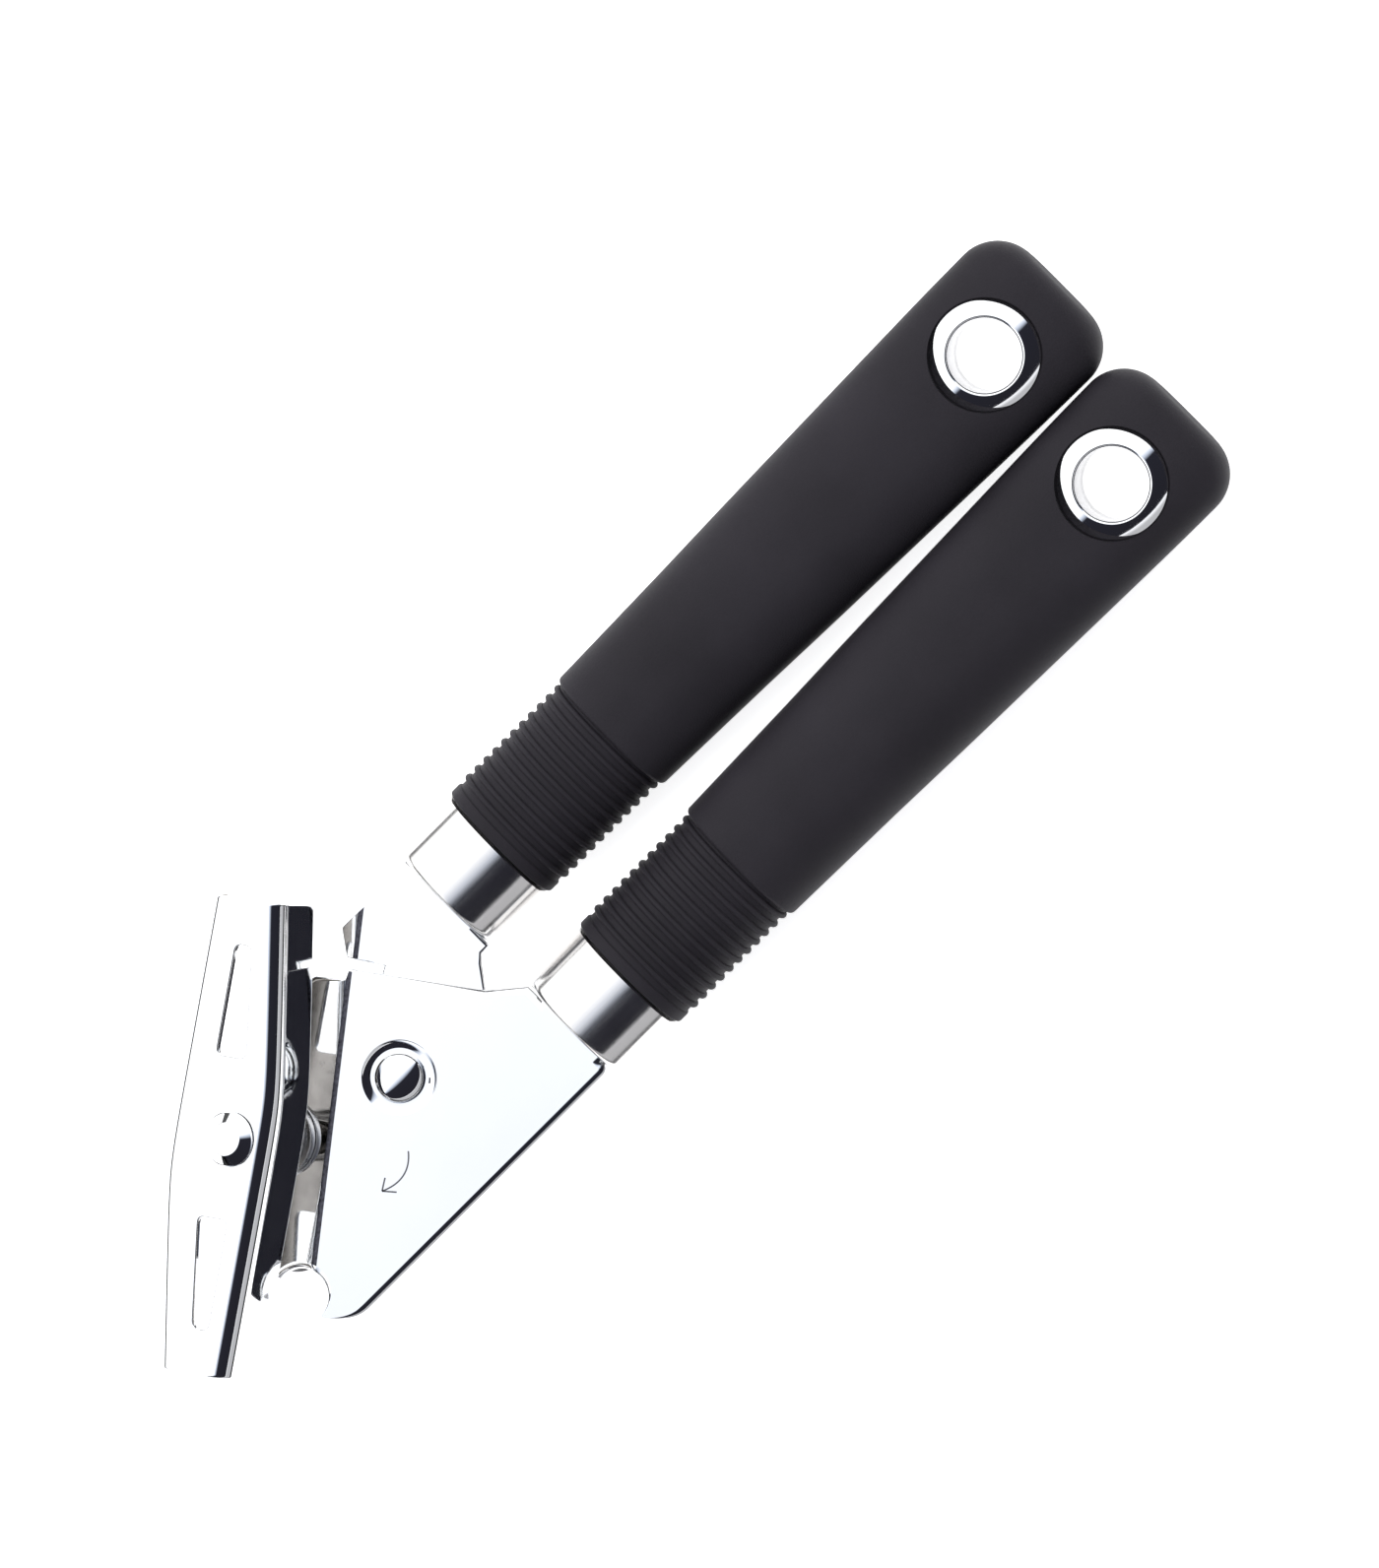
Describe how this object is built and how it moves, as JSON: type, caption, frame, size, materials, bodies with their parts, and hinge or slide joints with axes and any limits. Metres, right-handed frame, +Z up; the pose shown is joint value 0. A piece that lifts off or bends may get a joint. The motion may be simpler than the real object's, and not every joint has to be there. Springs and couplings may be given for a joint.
{
  "type": "manual can opener",
  "caption": "Handheld can opener: two levers on a pivot, chrome turn key, feed wheel, cutting wheel, bottle-opener notch and soft ribbed handles with hanging eyelets.",
  "frame": {"origin": "under the middle of the box that the opener fills as it lies flat with the key up, at its lowest point", "axes": "+X from the head to the handle ends, +Y from the front (lower) handle to the rear (upper) handle, +Z up, out of the front plate on the key's side"},
  "size_m": [0.2274, 0.07, 0.0288],
  "materials": {
    "chrome": "mirror-bright plating",
    "polished_steel": "polished",
    "plain_steel": "bright zinc",
    "hardened_steel": "ground, hardened",
    "soft_grip": "soft-touch matt",
    "core_plastic": "moulded"
  },
  "bodies": {
    "front_lever": {"front_plate": "chrome", "pivot_rivet": "chrome", "pivot_washer": "plain_steel", "drive_bush": "plain_steel", "front_ferrule": "polished_steel", "front_core": "core_plastic", "front_grip": "soft_grip", "front_eyelet": "chrome", "front_eyelet_back": "chrome"},
    "rear_lever": {"rear_plate": "chrome", "rear_ferrule": "polished_steel", "rear_core": "core_plastic", "rear_grip": "soft_grip", "rear_eyelet": "chrome", "rear_eyelet_back": "chrome", "cutter_stud": "plain_steel", "cutter_spacer": "plain_steel"},
    "turn_drive": {"drive_shaft": "chrome", "key_washer": "plain_steel", "feed_wheel": "hardened_steel", "feed_wheel_cap": "plain_steel", "turn_key": "chrome"},
    "cutter": {"cutting_wheel": "hardened_steel"}
  },
  "joints": [
    {"name": "lever_pivot", "type": "hinge", "parent": "front_lever", "child": "rear_lever", "pos_m": [-0.05333, -0.00718, 0.012], "axis": [0, 0, 1], "range_deg": [0, 12]},
    {"name": "key_turn", "type": "hinge", "parent": "front_lever", "child": "turn_drive", "pos_m": [-0.07447, -0.00027, 0.01069], "axis": [-0.2306, 0.2952, 0.9272], "continuous": true},
    {"name": "cutter_spin", "type": "hinge", "parent": "rear_lever", "child": "cutter", "pos_m": [-0.08589, -0.0092, 0.01069], "axis": [-0.2306, 0.2952, 0.9272], "continuous": true}
  ]
}
